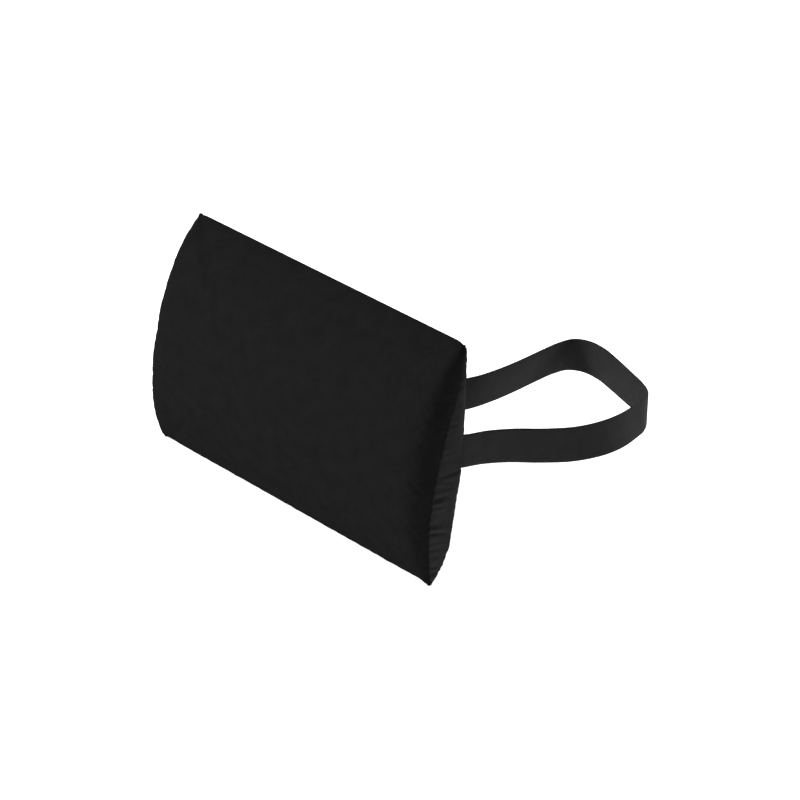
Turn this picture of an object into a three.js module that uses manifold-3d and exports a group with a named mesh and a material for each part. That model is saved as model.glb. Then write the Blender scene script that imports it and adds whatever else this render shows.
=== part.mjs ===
// Lumbar support cushion: a foam block with a crowned front, in a two-panel fabric cover that closes with a
// zipper across the lower back, and an elastic strap sewn into both ends that goes round the back of a chair.
//
// Millimetres. X runs along the cushion, -Y is the side the sitter leans on, and Z is up. The origin is on the
// flat of the back, halfway between the two ends and halfway between the top and bottom seams.

import * as THREE from "three";
import { mergeVertices } from "three/addons/utils/BufferGeometryUtils.js";
import Module from "manifold-3d";

const wasm = await Module();
wasm.setup();

// ---- Driving dimensions ----

// Cushion
const width = 390; // end to end
const height = 280; // bottom seam to top seam
const crownDepth = 48; // front, measured forward from the two seams
const backBow = 20; // back, measured behind the two seams
const crownPower = 0.65; // bluntness of the front: 0.5 is an ellipse, 1 is a parabola
const slopePower = 1.6; // how the upper back falls away towards the top seam
const backFlatTop = 20; // the back is flat between these two heights
const backFlatBottom = -100;
const seamShare = 0.5; // the end seam, as a share of the thickness measured from the back, at mid-height
const seamShareTop = 0.25; // it runs nearer to the back towards the top
const seamShareBottom = 0.6; // and nearer to the front towards the bottom
const seamTurn = 80; // height over which it reaches the upper share
const seamFall = 100; // height over which it reaches the lower share

// Cover
const panelThickness = 1.2;
const seamGap = 0.5; // between the two panels, measured along Y
const clearance = 0.3; // between other pieces that touch

// Zipper, set into a slot in the flat of the back
const zipperHeight = -75; // height of its centre line
const zipperLength = 330; // over both stops
const tapeOverrun = 10; // tape beyond each stop
const tapeWidth = 12; // each of the two tapes
const tapeThickness = 0.6;
const coilWidth = 2.6;
const coilThickness = 1.5;
const stopLength = 2.4;
const sliderLength = 10;
const sliderWall = 1;
const crownWidth = 2.4; // the arch on the slider that holds the pull
const crownWall = 0.8;
const pullLength = 26;
const pullWidth = 6;
const pullThickness = 1.2;

// Strap
const strapWidth = 40;
const strapThickness = 1.6;
const strapHeight = 13; // height of its centre line
const strapRoot = 6; // how far in front of the back its sewn edges lie
const strapSteps = 96;

// ---- Sizes that follow from them ----

const halfWidth = width / 2;
const halfHeight = height / 2;
const tapeFace = -panelThickness - clearance; // outer face of the tapes, under the panel
const coilBase = tapeFace + clearance;
const coilTop = coilBase + coilThickness;
const coilInner = clearance / 2; // each half of the chain, measured from the centre line
const coilOuter = coilInner + coilWidth;
const sliderHalfWidth = coilOuter + clearance + sliderWall;
const slotHalfHeight = sliderHalfWidth + 3 * clearance;
const plateBase = coilTop + clearance;
const plateTop = plateBase + sliderWall;
const stopX = zipperLength / 2 - stopLength / 2;
const sliderX = zipperLength / 2 - stopLength - clearance - sliderLength / 2;

// The arch leaves room for the corner of the pull's square bar to turn inside it.
const barReach = (pullThickness / 2) * Math.SQRT2 + clearance;
const archHalfLength = barReach + 0.4;
const pullAxisY = plateTop + barReach;

// ---- Materials ----

const coverFabric = new THREE.MeshStandardMaterial({ color: 0x1c1c1d, roughness: 0.95, metalness: 0 });
const strapElastic = new THREE.MeshStandardMaterial({ color: 0x262627, roughness: 0.9, metalness: 0 });
const foam = new THREE.MeshStandardMaterial({ color: 0xd9d4c4, roughness: 1, metalness: 0 });
const tapeFabric = new THREE.MeshStandardMaterial({ color: 0x18181a, roughness: 0.9, metalness: 0 });
const coilNylon = new THREE.MeshStandardMaterial({ color: 0x141415, roughness: 0.45, metalness: 0 });
const sliderMetal = new THREE.MeshStandardMaterial({ color: 0x1a1a1b, roughness: 0.4, metalness: 0.6 });

// ---- Helpers ----

// A section drawn in (y, z) becomes a bar along X: its own axes x, y and z turn into Y, Z and X.
const sectionToX = new THREE.Matrix4().makeBasis(
  new THREE.Vector3(0, 1, 0),
  new THREE.Vector3(0, 0, 1),
  new THREE.Vector3(1, 0, 0),
);

function alongX(shape, length) {
  const geometry = new THREE.ExtrudeGeometry(shape, { depth: length, steps: 1, bevelEnabled: false });
  geometry.translate(0, 0, -length / 2);
  return geometry.applyMatrix4(sectionToX);
}

// A box from its low and high corners.
function box([x0, y0, z0], [x1, y1, z1]) {
  const geometry = new THREE.BoxGeometry(x1 - x0, y1 - y0, z1 - z0);
  return geometry.translate((x0 + x1) / 2, (y0 + y1) / 2, (z0 + z1) / 2);
}

function solid(geometry) {
  const bare = geometry.clone();
  bare.deleteAttribute("normal");
  bare.deleteAttribute("uv");
  const merged = mergeVertices(bare, 1e-4);
  return new wasm.Manifold(
    new wasm.Mesh({
      numProp: 3,
      vertProperties: new Float32Array(merged.attributes.position.array),
      triVerts: new Uint32Array(merged.index.array),
    }),
  );
}

function surface(manifold) {
  const mesh = manifold.getMesh();
  const geometry = new THREE.BufferGeometry();
  geometry.setAttribute("position", new THREE.BufferAttribute(new Float32Array(mesh.vertProperties), 3));
  geometry.setIndex(new THREE.BufferAttribute(new Uint32Array(mesh.triVerts), 1));
  geometry.computeVertexNormals();
  return geometry;
}

function piece(name, geometry, material) {
  const mesh = new THREE.Mesh(geometry, material);
  mesh.name = name;
  return mesh;
}

// ---- Section of the cushion ----

// Front: forward of the seams by the crown depth times (1 - (z / half height)^2) ^ crown power.
function frontY(z) {
  return -backBow - crownDepth * (1 - (z / halfHeight) ** 2) ** crownPower;
}

// Back: a slope down to the top seam, a flat, and a quarter ellipse round to the bottom seam.
function backY(z) {
  if (z > backFlatTop) {
    return -backBow * ((z - backFlatTop) / (halfHeight - backFlatTop)) ** slopePower;
  }
  if (z < backFlatBottom) {
    const turn = (backFlatBottom - z) / (backFlatBottom + halfHeight);
    return -backBow * (1 - Math.sqrt(Math.max(0, 1 - turn ** 2)));
  }
  return 0;
}

// The two panels meet on a line down each end, about halfway between the front and the back. It leans: towards
// the back in the upper part, and towards the front in the lower part.
function seamY(z) {
  const inside = THREE.MathUtils.clamp(z, -halfHeight, halfHeight);
  const rise = THREE.MathUtils.clamp((inside - backFlatTop) / seamTurn, 0, 1) ** 1.6;
  const fall = THREE.MathUtils.clamp((backFlatTop - inside) / seamFall, 0, 1) ** 0.8;
  const share = seamShare + (seamShareTop - seamShare) * rise + (seamShareBottom - seamShare) * fall;
  return backY(inside) + share * (frontY(inside) - backY(inside));
}

function sectionOutline() {
  const points = [];
  const frontSteps = 26;
  for (let i = 0; i <= frontSteps; i++) {
    const z = halfHeight * Math.sin(Math.PI * (i / frontSteps - 0.5));
    points.push(new THREE.Vector2(frontY(z), z));
  }
  const slopeSteps = 8;
  for (let i = 1; i <= slopeSteps; i++) {
    const z = THREE.MathUtils.lerp(halfHeight, backFlatTop, i / slopeSteps);
    points.push(new THREE.Vector2(backY(z), z));
  }
  const turnSteps = 8;
  for (let i = 0; i < turnSteps; i++) {
    const z = backFlatBottom - (halfHeight + backFlatBottom) * Math.sin((Math.PI / 2) * (i / turnSteps));
    points.push(new THREE.Vector2(backY(z), z));
  }
  return points;
}

// Moves each side of an outline in by the inset, and its corners with them. The outline runs clockwise, so the
// inside is on the right of each side.
function insetOutline(points, inset) {
  const inward = points.map((point, i) => {
    const along = points[(i + 1) % points.length].clone().sub(point).normalize();
    return new THREE.Vector2(along.y, -along.x);
  });
  return points.map((point, i) => {
    const before = inward[(i + points.length - 1) % points.length];
    const corner = before.clone().add(inward[i]).divideScalar(1 + before.dot(inward[i]));
    return point.clone().addScaledVector(corner, inset);
  });
}

// The whole cushion, with every surface moved in by the inset.
function cushionBody(inset) {
  return alongX(new THREE.Shape(insetOutline(sectionOutline(), inset)), width - 2 * inset);
}

// Everything in front of the seam line, moved back by the shift.
function frontRegion(shift) {
  const beyond = 30;
  const points = [new THREE.Vector2(-crownDepth - backBow - beyond, -halfHeight - beyond)];
  points.push(new THREE.Vector2(seamY(-halfHeight) + shift, -halfHeight - beyond));
  const steps = 32;
  for (let i = 0; i <= steps; i++) {
    const z = halfHeight * Math.sin(Math.PI * (i / steps - 0.5));
    points.push(new THREE.Vector2(seamY(z) + shift, z));
  }
  points.push(new THREE.Vector2(seamY(halfHeight) + shift, halfHeight + beyond));
  points.push(new THREE.Vector2(-crownDepth - backBow - beyond, halfHeight + beyond));
  return solid(alongX(new THREE.Shape(points), width + 2 * beyond));
}

// ---- Cover and core ----

const shell = solid(cushionBody(0)).subtract(solid(cushionBody(panelThickness)));

function frontPanel() {
  return piece("cover_front", surface(shell.intersect(frontRegion(-seamGap / 2))), coverFabric);
}

function backPanel() {
  const slotHalfLength = zipperLength / 2 + clearance;
  const slot = box(
    [-slotHalfLength, -2 * panelThickness, zipperHeight - slotHalfHeight],
    [slotHalfLength, panelThickness, zipperHeight + slotHalfHeight],
  );
  const panel = shell.subtract(frontRegion(seamGap / 2)).subtract(solid(slot));
  return piece("cover_back", surface(panel), coverFabric);
}

// The zipper tapes press a shallow band into the foam.
function foamCore() {
  const bandFloor = tapeFace - tapeThickness - clearance;
  const bandHalfLength = zipperLength / 2 + tapeOverrun + clearance;
  const bandHalfHeight = coilInner + tapeWidth + clearance;
  const band = box(
    [-bandHalfLength, bandFloor, zipperHeight - bandHalfHeight],
    [bandHalfLength, panelThickness, zipperHeight + bandHalfHeight],
  );
  const core = solid(cushionBody(panelThickness + clearance)).subtract(solid(band));
  return piece("foam_core", surface(core), foam);
}

// ---- Zipper ----

// The upper half of the zipper has side 1 and the lower half has side -1.
function zipperStrip(halfLength, y0, y1, z0, z1, side) {
  const low = zipperHeight + Math.min(side * z0, side * z1);
  const high = zipperHeight + Math.max(side * z0, side * z1);
  return box([-halfLength, y0, low], [halfLength, y1, high]);
}

function zipperTape(name, side) {
  const halfLength = zipperLength / 2 + tapeOverrun;
  const back = tapeFace - tapeThickness;
  const strip = zipperStrip(halfLength, back, tapeFace, coilInner, coilInner + tapeWidth, side);
  return piece(name, strip, tapeFabric);
}

function zipperCoil(name, side) {
  const halfLength = zipperLength / 2 - stopLength - clearance;
  return piece(name, zipperStrip(halfLength, coilBase, coilTop, coilInner, coilOuter, side), coilNylon);
}

// A stop stands as high as the top of the slider's plate, so the slider can't ride over it.
function zipperStop(name, x, z0, z1) {
  const geometry = box([-stopLength / 2, coilBase, zipperHeight + z0], [stopLength / 2, plateTop, zipperHeight + z1]);
  const stop = piece(name, geometry, sliderMetal);
  stop.position.x = x;
  return stop;
}

// The slider is a plate over the coils with a flange down each side, and an arch on top for the pull.
function zipperSlider() {
  const half = sliderLength / 2;
  const plate = box([-half, plateBase, -sliderHalfWidth], [half, plateTop, sliderHalfWidth]);
  const flange = (side) => {
    const z = [side * sliderHalfWidth, side * (sliderHalfWidth - sliderWall)];
    return box([-half, coilBase, Math.min(...z)], [half, plateTop, Math.max(...z)]);
  };
  const archTop = 2 * barReach + crownWall;
  const arch = new THREE.Shape();
  arch.moveTo(-archHalfLength - crownWall, -sliderWall / 2);
  arch.lineTo(-archHalfLength - crownWall, archTop - crownWall);
  arch.quadraticCurveTo(-archHalfLength - crownWall, archTop, -archHalfLength, archTop);
  arch.lineTo(archHalfLength, archTop);
  arch.quadraticCurveTo(archHalfLength + crownWall, archTop, archHalfLength + crownWall, archTop - crownWall);
  arch.lineTo(archHalfLength + crownWall, -sliderWall / 2);
  arch.lineTo(archHalfLength, -sliderWall / 2);
  arch.lineTo(archHalfLength, 2 * barReach);
  arch.lineTo(-archHalfLength, 2 * barReach);
  arch.lineTo(-archHalfLength, -sliderWall / 2);
  const crown = new THREE.ExtrudeGeometry(arch, { depth: crownWidth, bevelEnabled: false, curveSegments: 5 });
  crown.translate(0, plateTop, -crownWidth / 2);
  const body = solid(plate).add(solid(flange(1))).add(solid(flange(-1))).add(solid(crown));
  const slider = piece("zipper_slider", surface(body), sliderMetal);
  slider.position.set(sliderX, 0, zipperHeight);
  return slider;
}

// The pull lies flat. Its end bar turns inside the arch, and its eye clears the arch all the way round.
function zipperPull() {
  const bar = pullThickness / 2;
  const eyeHalf = crownWidth / 2 + clearance;
  const eyeEnd = Math.hypot(archHalfLength + crownWall, barReach + crownWall) + clearance;
  const halfWide = pullWidth / 2;
  const outline = new THREE.Shape();
  outline.moveTo(bar, -halfWide);
  outline.lineTo(bar, halfWide);
  outline.lineTo(bar - pullLength + halfWide, halfWide);
  outline.absarc(bar - pullLength + halfWide, 0, halfWide, Math.PI / 2, (3 * Math.PI) / 2, false);
  outline.lineTo(bar, -halfWide);
  const eye = new THREE.Path();
  eye.moveTo(-bar, -eyeHalf);
  eye.lineTo(-bar, eyeHalf);
  eye.lineTo(-eyeEnd, eyeHalf);
  eye.lineTo(-eyeEnd, -eyeHalf);
  eye.lineTo(-bar, -eyeHalf);
  outline.holes.push(eye);
  const plate = new THREE.ExtrudeGeometry(outline, {
    depth: pullThickness,
    bevelEnabled: false,
    curveSegments: 8,
  });
  plate.translate(0, 0, -pullThickness / 2);
  plate.rotateX(-Math.PI / 2);
  const pull = piece("zipper_pull", plate, sliderMetal);
  pull.position.set(sliderX, pullAxisY, zipperHeight);
  return pull;
}

// ---- Strap ----

// The band is sewn to the rear edge of the right end, swings out behind as a loop, comes back across the cushion
// and goes round to the rear edge of the left end. Each point is [x, y], with x measured outwards from the end
// that the point belongs to and y from the back of the cushion.
const onEnd = clearance + strapThickness / 2;
const rightRoute = [
  [onEnd, -strapRoot],
  [1.6, 4],
  [8, 27],
  [21, 55],
  [40, 84],
  [57, 117],
  [66, 155],
  [67, 190],
  [62, 225],
  [57, 248],
  [48, 264],
  [32, 275],
  [5, 287],
  [-25, 300],
  [-50, 309],
  [-71, 309],
  [-84, 298],
  [-87.5, 275],
  [-86, 240],
  [-83, 200],
  [-81.5, 155],
  [-84, 115],
  [-94, 82],
  [-114, 57],
  [-145, 41],
  [-190, 33],
];
const leftRoute = [
  [-140, 32],
  [-90, 33],
  [-45, 34],
  [-19, 33],
  [-5, 29],
  [1.5, 20],
  [2.4, 9],
  [onEnd, -strapRoot],
];

function strapPath() {
  const points = [
    ...rightRoute.map(([x, y]) => new THREE.Vector3(halfWidth + x, y, strapHeight)),
    ...leftRoute.map(([x, y]) => new THREE.Vector3(-halfWidth - x, y, strapHeight)),
  ];
  return new THREE.CatmullRomCurve3(points, false, "centripetal");
}

// The section is carried along the path with its long side upright.
function strap() {
  const section = new THREE.Shape();
  section.moveTo(-strapWidth / 2, -strapThickness / 2);
  section.lineTo(strapWidth / 2, -strapThickness / 2);
  section.lineTo(strapWidth / 2, strapThickness / 2);
  section.lineTo(-strapWidth / 2, strapThickness / 2);
  section.closePath();
  const band = new THREE.ExtrudeGeometry(section, { steps: strapSteps, extrudePath: strapPath() });
  return piece("strap", band, strapElastic);
}

// ---- Assembly ----

const cushion = new THREE.Group();
cushion.add(foamCore());
cushion.add(frontPanel());
cushion.add(backPanel());

const zipper = new THREE.Group();
zipper.add(zipperTape("zipper_tape_upper", 1));
zipper.add(zipperTape("zipper_tape_lower", -1));
zipper.add(zipperCoil("zipper_coil_upper", 1));
zipper.add(zipperCoil("zipper_coil_lower", -1));
zipper.add(zipperStop("zipper_top_stop_upper", stopX, coilInner, coilOuter));
zipper.add(zipperStop("zipper_top_stop_lower", stopX, -coilOuter, -coilInner));
zipper.add(zipperStop("zipper_bottom_stop", -stopX, -coilOuter, coilOuter));
zipper.add(zipperSlider());
zipper.add(zipperPull());
cushion.add(zipper);

cushion.add(strap());

export default cushion;
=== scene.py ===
# %% [markdown]
# # A lumbar support cushion
#
# The real object is a foam block with a crowned front, in a black fabric cover sewn from two panels like
# a pillowcase, and an elastic strap that goes round the back of a chair. The CAD model already fixes the
# sizes, places and joints, so this lesson makes the surfaces that a hand and an eye would meet: cloth
# that swells between its seams and gathers at the ends, a woven band, a zipper, and the stitches that
# hold it. The cloth stands a few millimetres off its CAD solids in places.
#
# The CAD model is loaded first, because each piece takes its place from it.

# %% The frame
import math

import bmesh
import bpy
import numpy as np
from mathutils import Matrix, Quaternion, Vector


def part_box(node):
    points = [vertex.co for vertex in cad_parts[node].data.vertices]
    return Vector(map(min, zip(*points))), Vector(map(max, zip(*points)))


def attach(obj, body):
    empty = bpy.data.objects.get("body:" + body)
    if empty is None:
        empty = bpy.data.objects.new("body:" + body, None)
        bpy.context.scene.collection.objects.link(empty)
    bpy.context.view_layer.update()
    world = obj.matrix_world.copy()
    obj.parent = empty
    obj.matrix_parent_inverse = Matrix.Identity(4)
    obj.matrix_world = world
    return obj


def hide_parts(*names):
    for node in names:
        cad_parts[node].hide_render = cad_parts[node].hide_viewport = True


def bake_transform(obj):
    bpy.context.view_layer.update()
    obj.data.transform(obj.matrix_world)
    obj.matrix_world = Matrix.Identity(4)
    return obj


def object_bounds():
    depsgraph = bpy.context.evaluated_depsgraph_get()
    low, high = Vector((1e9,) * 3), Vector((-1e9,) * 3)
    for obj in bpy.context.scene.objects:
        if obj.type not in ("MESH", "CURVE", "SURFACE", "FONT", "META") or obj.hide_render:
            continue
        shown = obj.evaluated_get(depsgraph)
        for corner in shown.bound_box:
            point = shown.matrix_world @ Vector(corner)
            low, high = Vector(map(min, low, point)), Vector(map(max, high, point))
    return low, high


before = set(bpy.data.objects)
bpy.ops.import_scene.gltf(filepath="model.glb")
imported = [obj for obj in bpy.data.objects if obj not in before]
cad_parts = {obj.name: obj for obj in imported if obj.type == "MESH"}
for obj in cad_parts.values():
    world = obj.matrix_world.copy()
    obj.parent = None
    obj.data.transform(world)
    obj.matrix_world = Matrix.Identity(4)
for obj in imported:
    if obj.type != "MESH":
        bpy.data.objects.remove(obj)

MM = 0.001
cad_box = [list(corner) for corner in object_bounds()]
print("CAD box, metres:", np.round(cad_box, 4).tolist())

# %% Sizes that the frame gives
front_low, front_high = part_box("cover_front")
strap_low, strap_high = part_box("strap")
tape_low, tape_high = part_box("zipper_tape_upper")
lower_tape_low, lower_tape_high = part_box("zipper_tape_lower")
coil_low, coil_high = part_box("zipper_coil_upper")

# A box doesn't give these three, so they repeat the CAD model's own values.
BACK_BOW = 20 * MM
STRAP_THICKNESS = 1.6 * MM
STRAP_ROOT = 6 * MM

HALF_WIDTH = front_high.x
HALF_HEIGHT = front_high.z
CROWN_DEPTH = -front_low.y - BACK_BOW
STRAP_WIDTH = strap_high.z - strap_low.z
STRAP_HEIGHT = (strap_high.z + strap_low.z) / 2
ZIPPER_HEIGHT = (tape_low.z + lower_tape_high.z) / 2
sizes = [round(v / MM, 2) for v in (HALF_WIDTH, HALF_HEIGHT, CROWN_DEPTH)]
print("half width, half height, crown:", sizes, "mm")

# %% [markdown]
# ## Camera, floor and light
#
# A black object is hard to light, because matte black gives almost nothing back. A strong soft box high
# at the front left lights the crowned front. A smaller one behind lights the rear half of the end and the
# strap, and a weak one above fills in. Between the first two the front half of the end stays darker, and
# that dark band is what shows the form. The floor glows, so it stays white and shows no shadow. A long
# lens from almost three metres keeps the edges nearly parallel.

# %% Camera
CAMERA_TARGET = Vector((0.1215, -0.024, 0.0468))
CAMERA_DISTANCE = 2.808
CAMERA_AZIMUTH, CAMERA_ELEVATION, CAMERA_ROLL = (math.radians(a) for a in (36.45, 25.53, 9.73))

camera_data = bpy.data.cameras.new("camera")
camera_data.sensor_width = 36
camera_data.lens = 121.4
camera = bpy.data.objects.new("camera", camera_data)
bpy.context.scene.collection.objects.link(camera)
towards_camera = Vector((
    math.sin(CAMERA_AZIMUTH) * math.cos(CAMERA_ELEVATION),
    -math.cos(CAMERA_AZIMUTH) * math.cos(CAMERA_ELEVATION),
    math.sin(CAMERA_ELEVATION),
))
camera.location = CAMERA_TARGET + towards_camera * CAMERA_DISTANCE
camera.rotation_mode = "QUATERNION"
level = (-towards_camera).to_track_quat("-Z", "Y")
camera.rotation_quaternion = level @ Quaternion((0, 0, 1), CAMERA_ROLL)
bpy.context.scene.camera = camera
print("camera at", [round(c, 3) for c in camera.location])


# %% Soft boxes and a white room
def soft_box(name, place, aim, size, power):
    """A square area light at a place, turned to face a point."""
    data = bpy.data.lights.new(name, "AREA")
    data.shape = "SQUARE"
    data.size = size
    data.energy = power
    light = bpy.data.objects.new(name, data)
    light.location = place
    light.rotation_mode = "QUATERNION"
    light.rotation_quaternion = (Vector(aim) - Vector(place)).to_track_quat("-Z", "Y")
    bpy.context.scene.collection.objects.link(light)
    return light


soft_box("light_front_left", (-1.6, -2.4, 2.2), (0, 0, 0), 1.3, 150)
soft_box("light_rear", (0.45, 2.5, 0.9), (0.2, 0.05, 0), 0.5, 60)
soft_box("light_above", (0.5, 0.6, 2.6), (0.1, 0.0, 0), 1.0, 8)


def white_room(lighting, seen):
    """A world that lights the scene with one strength, and is seen by the camera with another."""
    world = bpy.data.worlds.new("white_room")
    bpy.context.scene.world = world
    world.use_nodes = True
    nodes, links = world.node_tree.nodes, world.node_tree.links
    dim = nodes["Background"]
    dim.inputs["Strength"].default_value = lighting
    bright = nodes.new("ShaderNodeBackground")
    bright.inputs["Strength"].default_value = seen
    dim.inputs["Color"].default_value = bright.inputs["Color"].default_value = (1, 1, 1, 1)
    mix = nodes.new("ShaderNodeMixShader")
    links.new(nodes.new("ShaderNodeLightPath").outputs["Is Camera Ray"], mix.inputs["Fac"])
    links.new(dim.outputs[0], mix.inputs[1])
    links.new(bright.outputs[0], mix.inputs[2])
    links.new(mix.outputs[0], nodes["World Output"].inputs["Surface"])


white_room(0.03, 1.0)
bpy.context.scene.view_settings.view_transform = "Standard"

# %% [markdown]
# ## Materials
#
# Every finish here is drawn by nodes instead of pictures, so it stays sharp at any distance. Cloth pieces
# carry a UV map measured in metres along the cloth: a weave that is drawn from it keeps its real pitch
# and turns with the surface, which it wouldn't if it were drawn in space. The helpers below keep the node
# code short: one starts a material, one adds a node, and one joins two values.


# %% Node helpers
def start_material(name, color, roughness, metallic=0.0, sheen=0.0, specular=0.5):
    """A material with its Principled shader set up, and the values that don't vary set on its own sockets."""
    material = bpy.data.materials.new(name)
    material.use_nodes = True
    shader = material.node_tree.nodes["Principled BSDF"]
    shader.inputs["Base Color"].default_value = (*color, 1)
    shader.inputs["Roughness"].default_value = roughness
    shader.inputs["Metallic"].default_value = metallic
    shader.inputs["Specular IOR Level"].default_value = specular
    shader.inputs["Sheen Weight"].default_value = sheen
    shader.inputs["Sheen Roughness"].default_value = 0.5
    return material, shader


def add(material, kind, inputs=None, **settings):
    """One node. Inputs are numbers, colours, or another node's output socket."""
    node = material.node_tree.nodes.new(kind)
    for key, value in settings.items():
        setattr(node, key, value)
    for key, value in (inputs or {}).items():
        if isinstance(value, bpy.types.NodeSocket):
            material.node_tree.links.new(value, node.inputs[key])
        else:
            node.inputs[key].default_value = value
    return node


def math_node(material, operation, a, b=0.0, c=0.0):
    """The output of a Math node."""
    return add(material, "ShaderNodeMath", {0: a, 1: b, 2: c}, operation=operation).outputs[0]


def noise(material, vector, scale, detail=3.0):
    """The output of a noise texture, from 0 to 1."""
    inputs = {"Vector": vector, "Scale": scale, "Detail": detail}
    return add(material, "ShaderNodeTexNoise", inputs).outputs["Fac"]


def mix_colors(material, factor, low, high):
    """A colour between two colours."""
    node = add(material, "ShaderNodeMix", data_type="RGBA")
    colors = [s for s in node.inputs if s.type == "RGBA"]
    colors[0].default_value, colors[1].default_value = (*low, 1), (*high, 1)
    material.node_tree.links.new(factor, node.inputs[0])
    return next(s for s in node.outputs if s.type == "RGBA")


def finish_material(material, shader, height, depth, color=None, roughness=None):
    """Joins a height to the shader as relief of the depth given in metres, with a colour and a roughness."""
    bump = add(material, "ShaderNodeBump", {"Height": height, "Distance": depth, "Strength": 1.0})
    material.node_tree.links.new(bump.outputs["Normal"], shader.inputs["Normal"])
    if color is not None:
        material.node_tree.links.new(color, shader.inputs["Base Color"])
    if roughness is not None:
        material.node_tree.links.new(roughness, shader.inputs["Roughness"])
    return material


def uv_parts(material):
    """The two directions along the cloth, in metres, and the whole UV vector."""
    uv = add(material, "ShaderNodeUVMap", uv_map="cloth").outputs["UV"]
    split = add(material, "ShaderNodeSeparateXYZ", {"Vector": uv})
    return split.outputs["X"], split.outputs["Y"], uv


def wave(material, position, pitch):
    """A sine from 0 to 1 that repeats once in each pitch."""
    turn = math_node(material, "MULTIPLY", position, 2 * math.pi / pitch)
    return math_node(material, "MULTIPLY_ADD", math_node(material, "SINE", turn), 0.5, 0.5)


# %% [markdown]
# The cover is made as a close plain weave with a faint nap. A plain weave is two sets of threads that
# pass over and under each other: where one sine is high the other thread dips. Multiplying the two sines
# and taking the larger of the product and its opposite gives the little over-and-under pillows. Two
# noises then vary the colour from place to place, as black dye does. The back panel is the same cloth
# with a lighter colour, and that lightness is painted light: it stands in for the light that reaches the
# back panel from behind. So the function takes the two ends of the colour's range.


# %% Cover fabric
def make_cover_fabric(name, dark, light):
    """Plain weave: the larger of a * b and (1 - a) * (1 - b), where a and b are sines along and across."""
    material, shader = start_material(name, light, 0.92, sheen=0.002, specular=0.0)
    along, up, uv = uv_parts(material)
    warp = wave(material, along, 0.9 * MM)
    weft = wave(material, up, 0.9 * MM)
    over = math_node(material, "MULTIPLY", warp, weft)
    under = math_node(material, "MULTIPLY", math_node(material, "SUBTRACT", 1.0, warp),
                      math_node(material, "SUBTRACT", 1.0, weft))
    weave = math_node(material, "MAXIMUM", over, under)
    nap = noise(material, uv, 900.0)
    height = math_node(material, "MULTIPLY_ADD", nap, 0.5, weave)
    cloudy = noise(material, uv, 55.0, 4.0)
    fine = noise(material, uv, 420.0, 2.0)
    shade = math_node(material, "MULTIPLY_ADD", fine, 0.45, cloudy)
    color = mix_colors(material, shade, dark, light)
    roughness = math_node(material, "MULTIPLY_ADD", nap, 0.12, 0.82)
    return finish_material(material, shader, height, 0.05 * MM, color, roughness)


cover_fabric = make_cover_fabric("cover_fabric", (0.0063, 0.0063, 0.0065), (0.0109, 0.0109, 0.0111))
# A lighter copy of the same cloth for the back panel: its colour is painted light from behind.
back_fabric_painted_lit = make_cover_fabric("back_fabric_painted_lit", (0.0156, 0.0156, 0.0160), (0.0281, 0.0281, 0.0285))


# %% [markdown]
# Woven elastic looks different from cloth: rubber cores run the whole length side by side, wrapped in
# thread, and fine cross threads bind them, so it shows close lengthwise ribs crossed by even finer ticks.
# It is smoother than the cover and a shade lighter.


# %% Strap elastic
def make_strap_elastic():
    """Ribs are a sine across the band; ticks are a finer sine along it, whose phase the ribs shift."""
    grey = (0.0245, 0.0245, 0.025)
    material, shader = start_material("strap_elastic", grey, 0.8, sheen=0.004, specular=0.03)
    along, across, uv = uv_parts(material)
    ribs = wave(material, across, 1.6 * MM)
    ticks = wave(material, math_node(material, "MULTIPLY_ADD", ribs, 0.35 * MM, along), 0.75 * MM)
    height = math_node(material, "MULTIPLY_ADD", ticks, 0.45, ribs)
    cloudy = noise(material, uv, 70.0, 3.0)
    color = mix_colors(material, cloudy, (0.0205, 0.0205, 0.021), (0.0285, 0.0285, 0.029))
    return finish_material(material, shader, height, 0.10 * MM, color)


strap_elastic = make_strap_elastic()


# %% [markdown]
# The small finishes: spun sewing thread with its twist, the herringbone of a zipper tape, moulded nylon
# for the coil, black paint on the slider that has worn thin in small patches, and cut foam with its
# cells.


# %% Thread, tape, nylon, painted metal and foam
def make_thread():
    """Thread whose twist is a fine noise, both in its relief and in its colour."""
    material, shader = start_material("sewing_thread", (0.02, 0.02, 0.021), 0.6, sheen=0.1)
    place = add(material, "ShaderNodeTexCoord").outputs["Object"]
    twist = noise(material, place, 2600.0, 1.0)
    color = mix_colors(material, twist, (0.013, 0.013, 0.014), (0.034, 0.034, 0.035))
    return finish_material(material, shader, twist, 0.08 * MM, color)


def make_zipper_tape():
    """Herringbone: a sine along the tape, shifted by a zigzag of the distance across it."""
    material, shader = start_material("zipper_tape", (0.016, 0.016, 0.017), 0.85, sheen=0.05)
    along, across, uv = uv_parts(material)
    zigzag = math_node(material, "PINGPONG", across, 1.5 * MM)
    twill = wave(material, math_node(material, "ADD", along, zigzag), 0.7 * MM)
    color = mix_colors(material, twill, (0.011, 0.011, 0.012), (0.021, 0.021, 0.022))
    return finish_material(material, shader, twill, 0.10 * MM, color)


def make_coil_nylon():
    """Moulded nylon, a little smoother in some streaks than in others."""
    material, shader = start_material("coil_nylon", (0.014, 0.014, 0.015), 0.38)
    place = add(material, "ShaderNodeTexCoord").outputs["Object"]
    streaks = noise(material, place, 700.0, 2.0)
    color = mix_colors(material, streaks, (0.010, 0.010, 0.011), (0.019, 0.019, 0.020))
    roughness = math_node(material, "MULTIPLY_ADD", streaks, 0.25, 0.28)
    return finish_material(material, shader, streaks, 0.03 * MM, color, roughness)


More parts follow.
